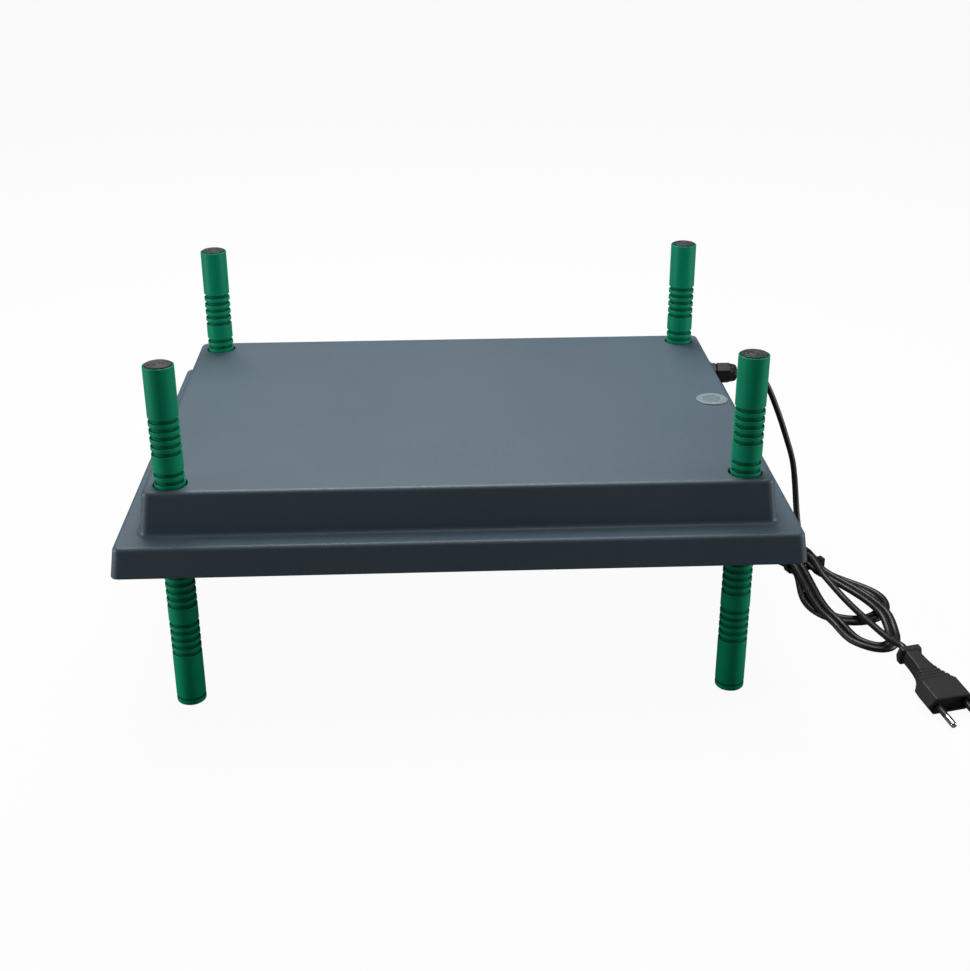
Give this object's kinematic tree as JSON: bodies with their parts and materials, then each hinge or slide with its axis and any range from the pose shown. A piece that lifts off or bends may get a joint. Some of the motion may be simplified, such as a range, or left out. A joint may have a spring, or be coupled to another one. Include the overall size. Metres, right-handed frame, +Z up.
{
  "type": "chicken brooder heater plate",
  "caption": "Electric chicken brooder heater plate: a stepped slate-grey housing with a warm underside, on grooved green legs that slide to set its height, with a mains lead and plug",
  "frame": {"origin": "on the floor, under the middle of the plate", "axes": "+X to the right, where the lead leaves, +Y to the back, +Z up"},
  "size_m": [0.5143, 0.3334, 0.2207],
  "materials": {
    "cover_plastic": "satin",
    "leg_plastic": "satin",
    "cap_plastic": "satin",
    "black_plastic": "satin",
    "cord_sheath": "satin",
    "seal_rubber": "matte",
    "steel": "satin",
    "plated_brass": "polished",
    "spreader_sheet": "satin",
    "heater_sheath": "matte",
    "insulation_felt": "matte",
    "white_plastic": "satin",
    "brown_wire": "satin",
    "blue_wire": "satin",
    "lens_plastic": "gloss",
    "lamp_glass": "gloss"
  },
  "bodies": {
    "housing": {"top_cover": "cover_plastic", "base_plate": "cover_plastic", "gland_body": "black_plastic", "gland_locknut": "black_plastic", "gland_dome_nut": "black_plastic", "thermal_cutout": "black_plastic", "plug_body": "black_plastic", "pin_sleeves": "black_plastic", "cord_tie": "black_plastic", "guide_front_left": "black_plastic", "guide_front_right": "black_plastic", "guide_rear_left": "black_plastic", "guide_rear_right": "black_plastic", "cord_lead": "cord_sheath", "cord_hank": "cord_sheath", "cord_tail": "cord_sheath", "pilot_leads": "cord_sheath", "gland_seal": "seal_rubber", "base_screws": "steel", "block_screw": "steel", "cutout_tabs": "steel", "pilot_retainer": "steel", "snap_ring_front_left": "steel", "snap_ring_front_right": "steel", "snap_ring_rear_left": "steel", "snap_ring_rear_right": "steel", "plug_pins": "plated_brass", "terminal_screws": "plated_brass", "heat_spreader": "spreader_sheet", "heating_cord": "heater_sheath", "insulation_mat": "insulation_felt", "terminal_block": "white_plastic", "core_live": "brown_wire", "lead_live": "brown_wire", "lead_link": "brown_wire", "core_neutral": "blue_wire", "lead_neutral": "blue_wire", "pilot_lens": "lens_plastic", "pilot_lamp": "lamp_glass"},
    "front_left_leg": {"leg_front_left": "leg_plastic", "cap_front_left": "cap_plastic", "foot_front_left": "leg_plastic"},
    "front_right_leg": {"leg_front_right": "leg_plastic", "cap_front_right": "cap_plastic", "foot_front_right": "leg_plastic"},
    "rear_left_leg": {"leg_rear_left": "leg_plastic", "cap_rear_left": "cap_plastic", "foot_rear_left": "leg_plastic"},
    "rear_right_leg": {"leg_rear_right": "leg_plastic", "cap_rear_right": "cap_plastic", "foot_rear_right": "leg_plastic"}
  },
  "joints": [
    {"name": "front_left_leg_slide", "type": "slide", "parent": "housing", "child": "front_left_leg", "axis": [0, 0, 1], "range_m": [-0.071, 0.081], "deforming": ["snap_ring_front_left"]},
    {"name": "front_right_leg_slide", "type": "slide", "parent": "housing", "child": "front_right_leg", "axis": [0, 0, 1], "range_m": [-0.071, 0.081], "deforming": ["snap_ring_front_right"]},
    {"name": "rear_left_leg_slide", "type": "slide", "parent": "housing", "child": "rear_left_leg", "axis": [0, 0, 1], "range_m": [-0.071, 0.081], "deforming": ["snap_ring_rear_left"]},
    {"name": "rear_right_leg_slide", "type": "slide", "parent": "housing", "child": "rear_right_leg", "axis": [0, 0, 1], "range_m": [-0.071, 0.081], "deforming": ["snap_ring_rear_right"]}
  ]
}
